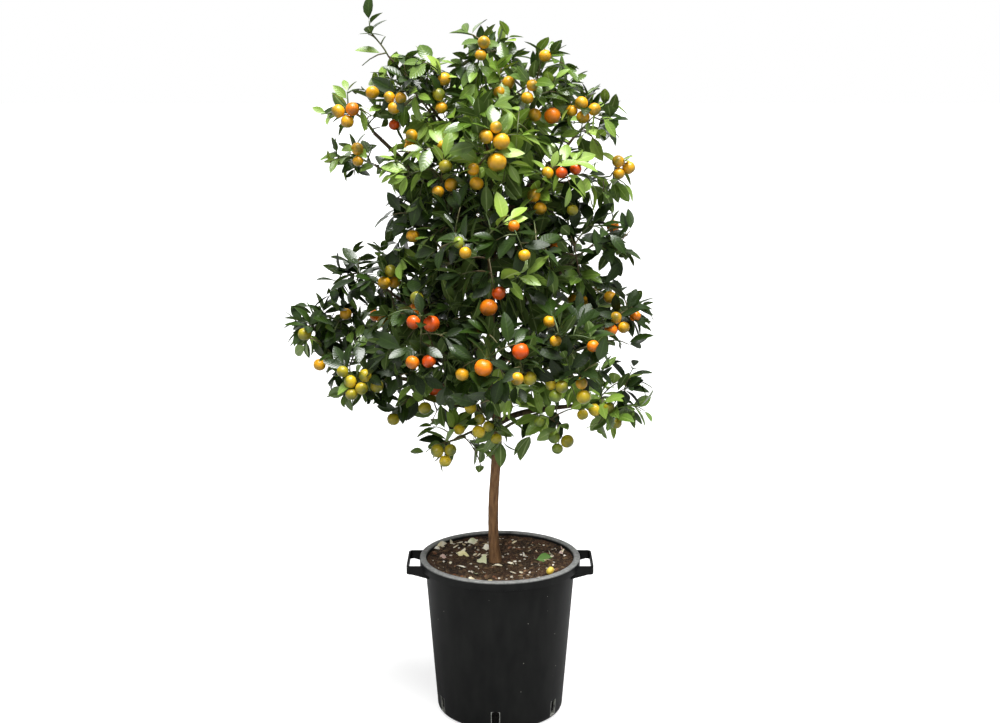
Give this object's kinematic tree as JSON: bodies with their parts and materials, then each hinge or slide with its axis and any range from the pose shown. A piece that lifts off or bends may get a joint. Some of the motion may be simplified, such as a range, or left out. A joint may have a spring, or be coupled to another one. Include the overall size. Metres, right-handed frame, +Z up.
{
  "type": "calamondin orange tree in a pot",
  "caption": "Small standard citrus tree in fruit, with a bare trunk, boughs and separate masses of foliage, standing in a round nursery pot with two side handles.",
  "frame": {"origin": "middle of the pot's flat underside", "axes": "+Z up along the pot's axis, -Y to the front, +X to the right of somebody who stands in front"},
  "size_m": [0.8217, 0.66, 1.6294],
  "materials": {
    "pot_plastic": "moulded black polypropylene, lightly scuffed, with a greyer worn lip",
    "potting_mix": "damp peat and bark potting mix, dark brown and crumbly",
    "trunk_bark": "thin smooth brown bark with faint nodes",
    "bough_bark": "thin dark brown to green bark",
    "foliage": "glossy dark green citrus leaves on green twigs, with small orange fruit"
  },
  "bodies": {
    "root": {"pot": "pot_plastic", "handle_left": "pot_plastic", "handle_right": "pot_plastic", "soil": "potting_mix", "trunk": "trunk_bark", "bough_back_left": "bough_bark", "bough_back_right": "bough_bark", "bough_front": "bough_bark", "bough_front_left": "bough_bark", "bough_front_right": "bough_bark", "bough_left_arm": "bough_bark", "bough_left_lower": "bough_bark", "bough_left_outer": "bough_bark", "bough_left_shoulder": "bough_bark", "bough_low_back": "bough_bark", "bough_low_left": "bough_bark", "bough_low_right": "bough_bark", "bough_mid_back": "bough_bark", "bough_mid_front": "bough_bark", "bough_mid_left": "bough_bark", "bough_mid_right": "bough_bark", "bough_right_arm": "bough_bark", "bough_right_tip": "bough_bark", "bough_top_left": "bough_bark", "bough_top_right": "bough_bark", "bough_top_shoot": "bough_bark", "bough_upper_back": "bough_bark", "bough_upper_left": "bough_bark", "bough_upper_right": "bough_bark", "foliage_back_left": "foliage", "foliage_back_right": "foliage", "foliage_crown_top": "foliage", "foliage_front": "foliage", "foliage_front_left": "foliage", "foliage_front_right": "foliage", "foliage_hanging_left": "foliage", "foliage_left_arm": "foliage", "foliage_left_lower": "foliage", "foliage_left_outer": "foliage", "foliage_left_shoulder": "foliage", "foliage_low_back": "foliage", "foliage_low_centre": "foliage", "foliage_low_left": "foliage", "foliage_low_right": "foliage", "foliage_low_right_centre": "foliage", "foliage_mid_back": "foliage", "foliage_mid_front": "foliage", "foliage_mid_left": "foliage", "foliage_mid_right": "foliage", "foliage_right_arm": "foliage", "foliage_right_tip": "foliage", "foliage_top_left": "foliage", "foliage_top_right": "foliage", "foliage_top_shoot": "foliage", "foliage_upper_back": "foliage", "foliage_upper_front": "foliage", "foliage_upper_left": "foliage", "foliage_upper_mid_left": "foliage", "foliage_upper_mid_right": "foliage", "foliage_upper_right": "foliage"}
  },
  "joints": []
}
